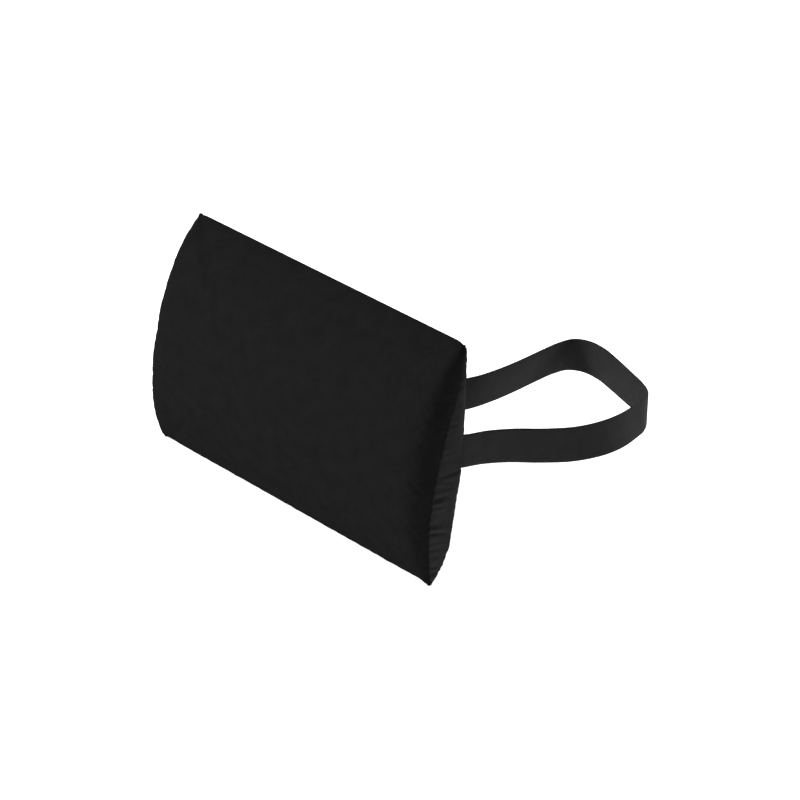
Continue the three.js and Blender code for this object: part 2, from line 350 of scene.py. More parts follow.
def make_painted_metal():
    """Black paint that thins to grey wherever a noise rises above 0.62."""
    material, shader = start_material("painted_metal", (0.018, 0.018, 0.019), 0.4, metallic=0.35)
    place = add(material, "ShaderNodeTexCoord").outputs["Object"]
    grain = noise(material, place, 1500.0, 2.0)
    patches = noise(material, place, 260.0, 5.0)
    worn = math_node(material, "SMOOTH_MAX", math_node(material, "SUBTRACT", patches, 0.62), 0.0, 0.02)
    color = mix_colors(material, math_node(material, "MULTIPLY", worn, 5.0),
                       (0.015, 0.015, 0.016), (0.16, 0.155, 0.15))
    roughness = math_node(material, "MULTIPLY_ADD", grain, 0.2, 0.3)
    return finish_material(material, shader, grain, 0.03 * MM, color, roughness)


def make_foam():
    """Cut foam: the distance to the nearest of many scattered points makes its open cells."""
    material, shader = start_material("foam", (0.68, 0.65, 0.55), 0.95)
    place = add(material, "ShaderNodeTexCoord").outputs["Object"]
    cells = add(material, "ShaderNodeTexVoronoi", {"Vector": place, "Scale": 900.0}).outputs["Distance"]
    tone = noise(material, place, 30.0)
    color = mix_colors(material, tone, (0.60, 0.56, 0.45), (0.76, 0.73, 0.63))
    return finish_material(material, shader, cells, 0.4 * MM, color)


sewing_thread, zipper_tape, coil_nylon = make_thread(), make_zipper_tape(), make_coil_nylon()
painted_metal, foam_material = make_painted_metal(), make_foam()
print("materials:", sorted(m.name for m in bpy.data.materials))

# %% [markdown]
# ## Making meshes from arrays
#
# Each surface below is an array of points laid out in rows and columns. Joining every point to its right
# and upper neighbours gives the faces, so the same few lines serve the cover, the foam, the strap and the
# coil.


# %% Grids of points
def grid_faces(rows, columns, round_columns=False, flip=False):
    """Corner numbers of the quads of a grid stored row by row. A round grid closes its last column."""
    k = np.arange(rows * columns).reshape(rows, columns)
    if round_columns:
        k = np.column_stack([k, k[:, 0]])
    quads = np.stack([k[:-1, :-1], k[:-1, 1:], k[1:, 1:], k[1:, :-1]], axis=-1).reshape(-1, 4)
    return quads[:, ::-1] if flip else quads


def mesh_object(name, points, quads, material, uv=None, smooth=True):
    """A mesh object from an array of points and an array of quads, with an optional UV for each point."""
    mesh = bpy.data.meshes.new(name)
    mesh.vertices.add(len(points))
    mesh.vertices.foreach_set("co", np.asarray(points, np.float32).ravel())
    mesh.loops.add(quads.size)
    mesh.loops.foreach_set("vertex_index", quads.astype(np.int32).ravel())
    mesh.polygons.add(len(quads))
    mesh.polygons.foreach_set("loop_start", np.arange(0, quads.size, 4, dtype=np.int32))
    mesh.polygons.foreach_set("loop_total", np.full(len(quads), 4, dtype=np.int32))
    mesh.update(calc_edges=True)
    if uv is not None:
        layer = mesh.uv_layers.new(name="cloth")
        layer.data.foreach_set("uv", np.asarray(uv, np.float32)[quads.ravel()].ravel())
    mesh.polygons.foreach_set("use_smooth", np.full(len(quads), smooth))
    mesh.materials.append(material)
    piece = bpy.data.objects.new(name, mesh)
    bpy.context.scene.collection.objects.link(piece)
    return piece


def stretches(knots, counts):
    """Places from knot to knot, evenly spaced in each stretch between two knots."""
    pairs = zip(knots, knots[1:], counts)
    parts = [np.linspace(low, high, count, endpoint=False) for low, high, count in pairs]
    return np.concatenate([*parts, [knots[-1]]])


def resample(grid, axis, places):
    """Reads a grid at fractional places along an axis with the Catmull-Rom cubic, which keeps old points."""
    g = np.moveaxis(grid, axis, 0)
    g = np.concatenate([2 * g[:1] - g[1:2], g, 2 * g[-1:] - g[-2:-1]])
    k = np.minimum(places.astype(int), len(g) - 4)
    t = (places - k).reshape(-1, *[1] * (g.ndim - 1))
    p0, p1, p2, p3 = g[k], g[k + 1], g[k + 2], g[k + 3]
    squared = 2 * p0 - 5 * p1 + 4 * p2 - p3
    cubed = 3 * p1 - p0 - 3 * p2 + p3
    cubic = 2 * p1 + (p2 - p0) * t + squared * t**2 + cubed * t**3
    return np.moveaxis(cubic / 2, 0, axis)


def grid_normals(grid, flip=False):
    """Unit normals: the cross product of the steps along the columns and along the rows."""
    across = np.gradient(grid, axis=1)
    up = np.gradient(grid, axis=0)
    normal = np.cross(across, up)
    normal /= np.maximum(np.linalg.norm(normal, axis=-1, keepdims=True), 1e-12)
    return -normal if flip else normal


def run_length(grid, axis):
    """Distance travelled along an axis of the grid, from its first point."""
    steps = np.linalg.norm(np.diff(grid, axis=axis), axis=-1)
    first = np.zeros_like(np.take(steps, [0], axis=axis))
    return np.concatenate([first, np.cumsum(steps, axis=axis)], axis=axis)


# %% [markdown]
# ## The cover
#
# The cover is two panels sewn together all the way round. The seam runs along the top and the bottom
# edge, and down the middle of each end, where the flat cloth has to turn round a solid end: that leaves a
# small pointed ear at each corner and gathers along the end seams. It could be sculpted, but sewn cloth
# has a clear recipe:
#
# 1. Each panel is a grid whose border is the seam. A row starts at the left end seam, crosses half of that
#    end, turns the rim, crosses the face, and comes round the other rim to the right end seam.
# 2. A short cloth simulation blows the joined grids up a little while the seams and the zipper's edge are
#    held, with a few percent of spare cloth near the end seams, so it buckles there as gathered cloth does.
# 3. The result is refined, the seams are drawn in, and finer gathers are added beside them.


# %% Section of the cushion
CROWN_POWER, SLOPE_POWER = 0.65, 1.6
FLAT_TOP, FLAT_BOTTOM = 20 * MM, -100 * MM
SAG = 3.6 * MM


def front_y(z):
    """Forward of the seams by the crown depth times (1 - (z / half height)^2) to the crown power."""
    return -BACK_BOW - CROWN_DEPTH * np.clip(1 - (z / HALF_HEIGHT) ** 2, 0, 1) ** CROWN_POWER


def back_y(z):
    """A slope down to the top seam, a flat, and a quarter ellipse round to the bottom seam."""
    slope = np.clip((z - FLAT_TOP) / (HALF_HEIGHT - FLAT_TOP), 0, 1)
    turn = np.clip((FLAT_BOTTOM - z) / (FLAT_BOTTOM + HALF_HEIGHT), 0, 1)
    return -BACK_BOW * (slope**SLOPE_POWER + 1 - np.sqrt(1 - turn**2))


def seam_y(z):
    """The end seam: half of the thickness from the back at mid-height, less above and a little more below."""
    rise = np.clip((z - FLAT_TOP) / (80 * MM), 0, 1) ** 1.6
    fall = np.clip((FLAT_TOP - z) / (100 * MM), 0, 1) ** 0.8
    return back_y(z) + (0.5 - 0.25 * rise + 0.1 * fall) * (front_y(z) - back_y(z))


def end_x(z):
    """Where the ends stand: half the width, less at the top and more at the bottom by the sag."""
    return HALF_WIDTH - SAG * z / HALF_HEIGHT


def smooth_step(value, low, high):
    """0 below the low value, 1 above the high one, and 3 t^2 - 2 t^3 between them."""
    t = np.clip((value - low) / (high - low), 0, 1)
    return t * t * (3 - 2 * t)


def even_heights(profile, knots, counts):
    """Heights spaced evenly along a profile between each knot and the next."""
    heights = [[knots[0]]]
    for low, high, count in zip(knots, knots[1:], counts):
        z = low + (high - low) * (1 - np.cos(np.linspace(0, np.pi, 4001))) / 2
        length = np.concatenate([[0], np.cumsum(np.hypot(np.diff(z), np.diff(profile(z))))])
        heights.append(np.interp(np.linspace(0, length[-1], count + 1)[1:], length, z))
    return np.concatenate(heights)


# %% One panel as a grid
SLOT_HALF_HEIGHT = 4.95 * MM
SLOT_HALF_LENGTH = coil_high.x + 3 * MM
FRONT_RIM, BACK_RIM = 11 * MM, 5 * MM
LOW_FULLNESS, RIGHT_LEAN, LEFT_LEAN = 4.5 * MM, 6 * MM, -2.5 * MM
ROWS_BELOW, ROWS_SLOT, ROWS_ABOVE = 15, 2, 47
ROWS = ROWS_BELOW + ROWS_SLOT + ROWS_ABOVE
END_COLUMNS, RIM_COLUMNS, OUTER_COLUMNS, SLOT_COLUMNS = 6, 4, 3, 66

seam_heights = even_heights(seam_y, [-HALF_HEIGHT, HALF_HEIGHT], [ROWS])
front_heights = even_heights(front_y, [-HALF_HEIGHT, HALF_HEIGHT], [ROWS])
slot_knots = [ZIPPER_HEIGHT - SLOT_HALF_HEIGHT, ZIPPER_HEIGHT + SLOT_HALF_HEIGHT]
back_knots = [-HALF_HEIGHT, *slot_knots, HALF_HEIGHT]
back_heights = even_heights(back_y, back_knots, [ROWS_BELOW, ROWS_SLOT, ROWS_ABOVE])


def half_row(heights, profile, rim_radius, fullness):
    """The right half of every row, from the end seam to the middle.

    From its seam point the row runs straight towards the corner of the end, turns it on a quadratic curve,
    and runs in along the face. Fullness moves the corner out, more and more from above the strap to below it.
    """
    lower = smooth_step(-heights, -STRAP_HEIGHT - 70 * MM, 30 * MM)
    full = fullness * lower * smooth_step(heights, -HALF_HEIGHT, -HALF_HEIGHT + 45 * MM)
    seam = np.stack([end_x(seam_heights), seam_y(seam_heights), seam_heights], axis=-1)
    corner = np.stack([end_x(heights) + full, profile(heights) + 0.5 * full, heights], axis=-1)
    span = corner - seam
    length = np.maximum(np.linalg.norm(span, axis=-1, keepdims=True), 1e-9)
    radius = np.minimum(rim_radius, 0.7 * length)
    before = corner - span / length * radius
    after = corner - radius * np.array([1, 0, 0])
    after[..., 1] -= 0.5 * full
    a = (np.linspace(0, 1, END_COLUMNS + 1) ** 1.4)[None, :, None]
    b = np.linspace(0, 1, RIM_COLUMNS + 1)[None, 1:, None]
    end = seam[:, None] * (1 - a) + before[:, None] * a
    rim = before[:, None] * (1 - b) ** 2 + 2 * corner[:, None] * b * (1 - b) + after[:, None] * b**2
    c = np.linspace(0, 1, OUTER_COLUMNS + 1)[None, 1:, None]
    inner = after * [0, 1, 1] + [SLOT_HALF_LENGTH, 0, 0]
    outer = after[:, None] * (1 - c) + inner[:, None] * c
    return np.concatenate([end, rim, outer], axis=1)


def panel_grid(heights, profile, rim_radius, fullness):
    """A whole panel: the mirrored half rows on the left, the right ones, and an even run between them."""
    right = half_row(heights, profile, rim_radius, fullness)
    left = right * [-1, 1, 1]
    d = np.linspace(0, 1, SLOT_COLUMNS + 1)[None, 1:-1, None]
    middle = left[:, -1:] * (1 - d) + right[:, -1:] * d
    return np.concatenate([left, middle, right[:, ::-1]], axis=1)


def leaned(grid, side, amount):
    """The front half of one end leans in by the amount at its rim, in step with how far forward it is.

    At the seam, and at the top and bottom tips, nothing moves; 60 mm in from the end the lean has faded.
    """
    seam, front = seam_y(grid[..., 2]), front_y(grid[..., 2])
    forward = np.clip((seam - grid[..., 1]) / np.maximum(seam - front, 1e-6), 0, 1)
    middle = np.clip(1 - (grid[..., 2] / HALF_HEIGHT) ** 4, 0, 1)
    near = smooth_step(side * grid[..., 0], HALF_WIDTH - 60 * MM, HALF_WIDTH - 12 * MM)
    return grid - (side * amount * forward * middle * near)[..., None] * [1, 0, 0]


front_grid = leaned(panel_grid(front_heights, front_y, FRONT_RIM, 0), 1, RIGHT_LEAN)
front_grid = leaned(front_grid, -1, LEFT_LEAN)
back_grid = panel_grid(back_heights, back_y, BACK_RIM, LOW_FULLNESS)
COLUMNS = front_grid.shape[1]
SLOT_FIRST = END_COLUMNS + RIM_COLUMNS + OUTER_COLUMNS
print("panel grid:", ROWS + 1, "rows by", COLUMNS, "columns")

# %% [markdown]
# The two grids share their border, so a single closed mesh goes into the simulation. Its seams and the
# edge of the zipper are pinned. Spare cloth is made with a negative shrink factor near the end seams. The
# foam inside keeps real cloth from moving far, so each point's move is shortened to less than the move
# limit.


# %% Joining the panels
def joined_numbers():
    """Vertex numbers of the two grids in one mesh: the back's border points are the front's."""
    size = (ROWS + 1) * COLUMNS
    front = np.arange(size).reshape(ROWS + 1, COLUMNS)
    back = front.copy()
    inside = (ROWS - 1) * (COLUMNS - 2)
    back[1:-1, 1:-1] = size + np.arange(inside).reshape(ROWS - 1, COLUMNS - 2)
    return front, back


front_numbers, back_numbers = joined_numbers()
joined_points = np.concatenate([front_grid.reshape(-1, 3), back_grid[1:-1, 1:-1].reshape(-1, 3)])
flat_quads = grid_faces(ROWS + 1, COLUMNS)
joined_quads = np.concatenate([front_numbers.ravel()[flat_quads], back_numbers.ravel()[flat_quads][:, ::-1]])
print("joined mesh:", len(joined_points), "points,", len(joined_quads), "quads")


# %% The cloth simulation
MOVE_LIMIT = 3.5 * MM
SIMULATED_FRAMES = 20


def held_points():
    """Seam points, and the frame of cloth round the zipper's slot."""
    held = np.zeros(len(joined_points), bool)
    held[front_numbers[[0, -1]].ravel()] = True
    held[front_numbers[:, [0, -1]].ravel()] = True
    slot_rows = slice(ROWS_BELOW - 1, ROWS_BELOW + ROWS_SLOT + 2)
    held[back_numbers[slot_rows, SLOT_FIRST - 1:COLUMNS - SLOT_FIRST + 1].ravel()] = True
    return np.flatnonzero(held)


def spare_cloth():
    """How much each point takes part in the spare cloth: 1 at the end seams, fading over 28 mm."""
    reach = 28 * MM
    front = run_length(front_grid, 1)
    back = run_length(back_grid, 1)
    weights = np.zeros(len(joined_points))
    for numbers, length in ((front_numbers, front), (back_numbers, back)):
        near = np.minimum(length, length[:, -1:] - length)
        weights[numbers.ravel()] = np.clip(1 - near / reach, 0, 1).ravel()
    return weights


def simulate_cloth():
    """Runs the cloth on a copy of the joined mesh and returns where its points end up."""
    rng = np.random.default_rng(5)
    start = joined_points + rng.normal(0, 0.12 * MM, joined_points.shape)
    cloth_piece = mesh_object("cloth_try", start, joined_quads, cover_fabric)
    pins = cloth_piece.vertex_groups.new(name="pins")
    pins.add(held_points().tolist(), 1.0, "REPLACE")
    spare = cloth_piece.vertex_groups.new(name="spare")
    weights = np.round(spare_cloth(), 2)
    for level in np.unique(weights[weights > 0]):
        spare.add(np.flatnonzero(weights == level).tolist(), float(level), "REPLACE")
    cloth = cloth_piece.modifiers.new("cloth", "CLOTH")
    settings = cloth.settings
    settings.quality = 8
    settings.mass = 0.25
    settings.tension_stiffness = settings.compression_stiffness = 25
    settings.shear_stiffness = 12
    settings.bending_stiffness = 0.4
    settings.air_damping = 3
    settings.use_pressure = True
    settings.uniform_pressure_force = 9
    settings.vertex_group_mass = "pins"
    settings.vertex_group_shrink = "spare"
    settings.shrink_min, settings.shrink_max = 0.0, -0.03
    settings.effector_weights.gravity = 0
    cloth.collision_settings.use_collision = False
    cloth.point_cache.frame_start, cloth.point_cache.frame_end = 1, SIMULATED_FRAMES
    scene = bpy.context.scene
    for step in range(1, SIMULATED_FRAMES + 1):
        scene.frame_set(step)
    evaluated = cloth_piece.evaluated_get(bpy.context.evaluated_depsgraph_get())
    ended = np.empty(len(joined_points) * 3, np.float32)
    evaluated.data.vertices.foreach_get("co", ended)
    bpy.data.objects.remove(cloth_piece)
    scene.frame_set(1)
    return ended.reshape(-1, 3).astype(float)


def limited(start, ended):
    """Each move shortened smoothly so that none passes the limit: limit * tanh(length / limit)."""
    move = ended - start
    length = np.linalg.norm(move, axis=-1, keepdims=True)
    return start + move * MOVE_LIMIT * np.tanh(length / MOVE_LIMIT) / np.maximum(length, 1e-12)


cover_points = joined_points
cover_points = limited(joined_points, simulate_cloth())
cover_points[held_points()] = joined_points[held_points()]
moved = np.linalg.norm(cover_points - joined_points, axis=-1)
largest, average = round(float(moved.max()) / MM, 2), round(float(moved.mean()) / MM, 2)
print("cloth moved by up to", largest, "mm, on average", average)

# %% [markdown]
# Now the detail that a 5 mm grid can't hold. The refined grid has a point about every 2 mm. Two things
# are added as moves along and across the surface: the seam draws the last few millimetres of both panels
# in, and gathers stand beside the end seams as small ridges about 10 mm apart that fade out over 17 mm.
# The gathers are stronger on the back panel and towards the bottom. The strap's sewn root presses them
# flat, and one crease runs from each end seam at the height of the strap's lower edge.


# %% Waves that never quite repeat
def wander(position, pitch, seed):
    """A smooth wave, mostly between -1 and 1: four sines of nearby pitches, with phases drawn from a seed."""
    rng = np.random.default_rng(seed)
    pitches = pitch * np.array([0.73, 1.0, 1.31, 2.1])
    phases = rng.uniform(0, 2 * np.pi, 4)
    weights = np.array([0.5, 1.0, 0.6, 0.5])
    waves = np.sin(2 * np.pi * position[..., None] / pitches + phases)
    return (waves * weights).sum(axis=-1) / 1.9


ROW_PLACES = stretches([0, 1, 13, 19, ROWS - 1, ROWS], [8, 36, 36, 3 * (ROWS - 20), 8])
LAST = COLUMNS - 1
half_knots = [0, 1, SLOT_FIRST - 3, SLOT_FIRST - 1, SLOT_FIRST + 1]
HALF_PLACES = stretches(half_knots, [6, 3 * (SLOT_FIRST - 4), 4, 12])
MIDDLE_PLACES = np.arange(SLOT_FIRST + 1.5, LAST - SLOT_FIRST - 1, 0.5)
COLUMN_PLACES = np.concatenate([HALF_PLACES, MIDDLE_PLACES, LAST - HALF_PLACES[::-1]])


# For each corner: left or right, bottom or top, how far it is pulled out, and how far the pull reaches.
CORNER_PULLS = (
    (-1, 1, -2.0 * MM, 7 * MM),
    (1, 1, -4.5 * MM, 7 * MM),
    (-1, -1, -0.5 * MM, 11 * MM),
    (1, -1, 1.0 * MM, 11 * MM),
)


def move_corners(grid):
    """Pulls each corner along its diagonal by the amount times exp(-(distance / reach)^2)."""
    for side, top, amount, reach in CORNER_PULLS:
        corner = np.array([side * end_x(top * HALF_HEIGHT), top * HALF_HEIGHT])
        away = np.hypot(grid[..., 0] - corner[0], grid[..., 2] - corner[1])
        pull = amount * np.exp(-((away / reach) ** 2))
        grid[..., 0] += side * pull * 0.75
        grid[..., 2] += top * pull * 0.65


def rolled(distance, radius):
    """How deep a panel's edge has rolled in: a quarter circle that ends upright at the seam."""
    t = 1 - np.clip(distance / radius, 0, 1)
    return radius * (1 - np.sqrt(1 - t**2))


GATHER_PITCH, GATHER_REACH = 10.5 * MM, 17 * MM
SEAM_FADE = 1.6 * MM


def gathers(grid, up, to_end, to_edge, seed):
    """Ridges beside the end seams, from about -1 to 1.

    They start at nothing on the seam and fade as exp(-(distance / reach)^2). Above the strap they are about a
    third as high as below it, and round the strap's sewn root they are pressed flat.
    """
    side = np.sign(grid[..., 0])
    strap_half = STRAP_WIDTH / 2 + 3 * MM
    beside_strap = np.exp(-((np.abs(grid[..., 2] - STRAP_HEIGHT) / strap_half) ** 8))
    pressed = beside_strap * np.exp(-(((grid[..., 1] + STRAP_ROOT) / (7 * MM)) ** 2))
    place = up + side * 40 * MM + 0.25 * to_end * wander(up, 34 * MM, seed + 1)
    ridges = wander(place, GATHER_PITCH, seed) * (0.65 + 0.35 * wander(up, 45 * MM, seed + 2))
    fade = (1 - np.exp(-to_end / SEAM_FADE)) * np.exp(-((to_end / GATHER_REACH) ** 2))
    corner_free = np.clip(to_edge / (10 * MM), 0, 1)
    low = 0.35 + 0.65 * smooth_step(-grid[..., 2], -STRAP_HEIGHT, 20 * MM)
    return low * fade * ridges * corner_free * (1 - pressed)


CREASE_DEPTH, CREASE_WIDTH, CREASE_REACH = 1.3 * MM, 1.6 * MM, 32 * MM
CREASE_DROP, CREASE_SLOPE = 1.5 * MM, 0.12
FOLD_SHARE, FOLD_WIDTH, FOLD_DROP = 0.8, 2.8 * MM, 5 * MM


def strap_crease(grid, to_end):
    """A dip at the height of the strap's lower edge with a soft fold under it. Both start at the seam."""
    above = grid[..., 2] - (STRAP_HEIGHT - STRAP_WIDTH / 2 - CREASE_DROP + CREASE_SLOPE * to_end)
    dip = np.exp(-((above / CREASE_WIDTH) ** 2))
    fold = FOLD_SHARE * np.exp(-(((above + FOLD_DROP) / FOLD_WIDTH) ** 2))
    reach = np.exp(-((to_end / CREASE_REACH) ** 4)) * (1 - np.exp(-to_end / (2 * MM)))
    return CREASE_DEPTH * (fold - dip) * reach


EDGE_RIPPLE, SOFT_RISE = 0.22 * MM, 0.3 * MM


def loose_cloth(across, up, to_end, to_edge, seed):
    """Small ripples beside the top and bottom seams, and slow rises over the rest of the panel."""
    edge_fade = (1 - np.exp(-to_edge / SEAM_FADE)) * np.exp(-to_edge / (6 * MM))
    ripples = EDGE_RIPPLE * edge_fade * wander(across, 16 * MM, seed + 3)
    soft = wander(across + 0.4 * up, 140 * MM, seed + 4) * wander(up - 0.3 * across, 110 * MM, seed + 5)
    inside = np.clip(to_end / (20 * MM), 0, 1) * np.clip(to_edge / (20 * MM), 0, 1)
    return ripples + SOFT_RISE * soft * inside


def detailed_panel(numbers, flip, gather, seed):
    """A refined panel with its gathers raised and its seams rolled in. Only the back panel is creased."""
    coarse = cover_points[numbers.ravel()].reshape(ROWS + 1, COLUMNS, 3)
    grid = resample(resample(coarse, 0, ROW_PLACES), 1, COLUMN_PLACES)
    normal = grid_normals(grid, flip)
    across, up = run_length(grid, 1), run_length(grid, 0)
    to_end = np.minimum(across, across[:, -1:] - across)
    to_edge = np.minimum(up, up[-1:] - up)
    lift = gather * gathers(grid, up, to_end, to_edge, seed)
    lift += flip * strap_crease(grid, to_end)
    lift += loose_cloth(across, up, to_end, to_edge, seed)
    side = np.sign(grid[..., 0])
    grid += normal * lift[..., None]
    grid[..., 0] -= side * rolled(to_end, 3 * MM)
    grid[..., 2] -= np.sign(grid[..., 2]) * rolled(to_edge, 1.8 * MM)
    move_corners(grid)
    return grid, np.stack([across, up], axis=-1)


# %% The front panel
def thicken(piece, thickness):
    """Gives a sheet its thickness on the inner side, with a closed rim."""
    solidify = piece.modifiers.new("thickness", "SOLIDIFY")
    solidify.thickness = thickness
    solidify.offset = -1
    solidify.use_rim = True
    return piece


PANEL_THICKNESS = 1.2 * MM
front_fine, front_uv = detailed_panel(front_numbers, False, 0.3 * MM, 11)
front_quads = grid_faces(*front_fine.shape[:2])
front_panel = mesh_object("front_panel", front_fine.reshape(-1, 3), front_quads, cover_fabric,
                          front_uv.reshape(-1, 2))
thicken(front_panel, PANEL_THICKNESS)
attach(front_panel, "cushion")
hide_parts("cover_front")
print("front panel:", len(front_quads), "quads")

# %% [markdown]
# The back panel has a slot for the zipper. Two of its rows and two of its columns were placed on the
# slot's edges from the start, so cutting it is only a matter of leaving those faces out. The cloth is
# folded under along the slot, so a band of it stands half a millimetre proud, with a dip where the row of
# stitches lies.


# %% The back panel
HEM_WIDTH, STITCH_INSET = 6 * MM, 2.5 * MM


def hem_relief(grid):
    """Height of the hem beside the slot: a low step as wide as the hem, with a dip at the stitches."""
    beyond_x = np.maximum(np.abs(grid[..., 0]) - SLOT_HALF_LENGTH, 0)
    beyond_z = np.maximum(np.abs(grid[..., 2] - ZIPPER_HEIGHT) - SLOT_HALF_HEIGHT, 0)
    away = np.hypot(beyond_x, beyond_z)
    step = 0.45 * MM / (1 + np.exp((away - HEM_WIDTH) / (0.5 * MM)))
    dip = 0.35 * MM * np.exp(-(((away - STITCH_INSET) / (0.9 * MM)) ** 2))
    return np.where(grid[..., 1] > -5 * MM, step - dip, 0)


back_fine, back_uv = detailed_panel(back_numbers, True, 2.1 * MM, 23)
back_fine[..., 1] += hem_relief(back_fine)
rows, columns = back_fine.shape[:2]
back_quads = grid_faces(rows, columns, flip=True)
quad_row, quad_column = np.divmod(np.arange(len(back_quads)), columns - 1)
first_row, last_row = np.searchsorted(ROW_PLACES, [ROWS_BELOW - 0.01, ROWS_BELOW + ROWS_SLOT - 0.01])
first_column, last_column = np.searchsorted(COLUMN_PLACES, [SLOT_FIRST - 0.01, LAST - SLOT_FIRST - 0.01])
in_slot_rows = (quad_row >= first_row) & (quad_row < last_row)
in_slot_columns = (quad_column >= first_column) & (quad_column < last_column)
back_quads = back_quads[~(in_slot_rows & in_slot_columns)]
used, back_quads = np.unique(back_quads, return_inverse=True)
back_quads = back_quads.reshape(-1, 4)
# The back panel wears the lighter copy of the cloth, whose colour is painted light from behind.
back_panel = mesh_object("back_panel", back_fine.reshape(-1, 3)[used], back_quads, back_fabric_painted_lit,
                         back_uv.reshape(-1, 2)[used])
thicken(back_panel, PANEL_THICKNESS)
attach(back_panel, "cushion")
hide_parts("cover_back")
print("back panel:", len(back_quads), "quads")

# %% [markdown]
# ## The foam block
#
# The foam isn't seen while the cover is closed, but it is what fills it, so it gets its own clean form:
# the cushion's section moved inwards, carried along X, and closed at each end. At each end the section
# shrinks by a quarter circle, which rounds the cut edge. The same surface is one grid: stations along X
# by points round the section, and the last ring at each end shrinks to a line down the middle, which
# closes it.


# %% The foam block
def section_loop(inset):
    """Points round the section, moved in by the inset from the front and the back and cut flat at its tips."""
    z = np.linspace(-1, 1, 61) * (HALF_HEIGHT - 2.6 * inset)
    front = np.stack([front_y(z) + inset, z], -1)
    back = np.stack([back_y(z) - inset, z], -1)
    return np.concatenate([front, back[::-1]])


def foam_grid():
    """Rings of the section at stations along X, each with its own inset, and a flat ring at both ends."""
    inset, rim = 4.5 * MM, 5 * MM
    turn = np.linspace(0, np.pi / 2, 6)
    edge_x = HALF_WIDTH - 8 * MM - rim * (1 - np.sin(turn))
    edge_inset = inset + rim * (1 - np.cos(turn))
    x = np.concatenate([-edge_x[::-1], np.linspace(-edge_x[0], edge_x[0], 41)[1:-1], edge_x])
    insets = np.concatenate([edge_inset[::-1], np.full(39, inset), edge_inset])
    rings = np.stack([section_loop(i) for i in insets])
    middle = rings[-1] * [0, 1] + [-34 * MM, 0]
    rings = np.concatenate([middle[None], rings, middle[None]])
    x = np.concatenate([x[:1], x, x[-1:]])
    return np.concatenate([np.broadcast_to(x[:, None, None], (*rings.shape[:2], 1)), rings], axis=-1)


foam_points = foam_grid()
foam_quads = grid_faces(*foam_points.shape[:2], round_columns=True)
foam_block = mesh_object("foam_block", foam_points.reshape(-1, 3), foam_quads, foam_material)
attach(foam_block, "cushion")
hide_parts("foam_core")
print("foam block:", len(foam_quads), "quads")

# %% [markdown]
# ## The strap
#
# The band is 40 mm woven elastic, sewn to the rear edge of each end. It swings out behind the right end
# in a loop before it comes back across the cushion. It is modelled directly: a flat section with rounded
# edges carried along the route, with its long side upright. Away from the two roots the route's points
# are the ones that the CAD model uses, and at each root a few more tuck the band into the cloth. A
# centripetal Catmull-Rom curve joins them.

# %% The strap's route
right_route = np.array([
    [-3.2, -7.5], [-1.8, -6], [-0.7, -3.6], [0.4, -0.5], [1.9, 4], [8, 27], [21, 55], [40, 84], [57, 117],
    [66, 155], [67, 190], [62, 225], [57, 248], [48, 264], [32, 275], [5, 287], [-25, 300], [-50, 309],
    [-71, 309], [-84, 298], [-87.5, 275], [-86, 240], [-83, 200],
    [-81.5, 155], [-84, 115], [-94, 82], [-114, 57], [-145, 41], [-190, 33],
]) * MM
left_route = np.array([
    [-140, 32], [-90, 33], [-45, 34], [-19, 33], [-5, 29], [1.5, 20], [2.4, 9], [1.2, 2.5],
    [-0.2, -2.2], [-1.6, -5.4], [-3.2, -7.5],
]) * MM
right_points = right_route + [HALF_WIDTH, 0]
left_points = left_route * [-1, 1] - [HALF_WIDTH, 0]
route = np.concatenate([right_points, left_points])


def catmull_rom(points, per_span):
    """The centripetal Catmull-Rom curve through the points: a span takes the root of its length in time."""
    p = np.concatenate([2 * points[:1] - points[1:2], points, 2 * points[-1:] - points[-2:-1]])
    span = np.sqrt(np.linalg.norm(np.diff(p, axis=0), axis=1))[:, None]
    d0, d1, d2 = span[:-2], span[1:-1], span[2:]
    p0, p1, p2, p3 = p[:-3], p[1:-2], p[2:-1], p[3:]
    leave = ((p1 - p0) / d0 - (p2 - p0) / (d0 + d1) + (p2 - p1) / d1) * d1
    arrive = ((p2 - p1) / d1 - (p3 - p1) / (d1 + d2) + (p3 - p2) / d2) * d1
    t = np.linspace(0, 1, per_span, endpoint=False)[:, None, None]
    curve = (2 * t**3 - 3 * t**2 + 1) * p1 + (t**3 - 2 * t**2 + t) * leave
    curve = curve + (3 * t**2 - 2 * t**3) * p2 + (t**3 - t**2) * arrive
    return np.concatenate([np.moveaxis(curve, 0, 1).reshape(-1, points.shape[1]), points[-1:]])


def evenly(curve, step):
    """The same curve with a point at each step of its length."""
    length = np.concatenate([[0], np.cumsum(np.linalg.norm(np.diff(curve, axis=0), axis=1))])
    at = np.linspace(0, length[-1], int(length[-1] / step) + 1)
    return np.stack([np.interp(at, length, curve[:, k]) for k in range(curve.shape[1])], axis=-1), at


strap_line, strap_at = evenly(catmull_rom(route, 40), 1.0 * MM)
print("strap length:", round(float(strap_at[-1]) / MM), "mm, in", len(strap_line), "rings")


# %% The strap's surface
def strap_section():
    """Points round the band: half the thickness times sqrt(1 - (place / half width)^14), on both sides."""
    half = STRAP_WIDTH / 2
    s = np.linspace(-1, 1, 25)
    w = half * (0.82 * s + 0.18 * np.sin(s * np.pi / 2) ** 3)
    h = STRAP_THICKNESS / 2 * np.sqrt(1 - np.abs(w / half) ** 14)
    return np.concatenate([np.stack([w, h], -1), np.stack([w[-2:0:-1], -h[-2:0:-1]], -1)])


LEAN, LEAN_PLACE, LEAN_SPREAD = math.radians(14), 215 * MM, 95 * MM


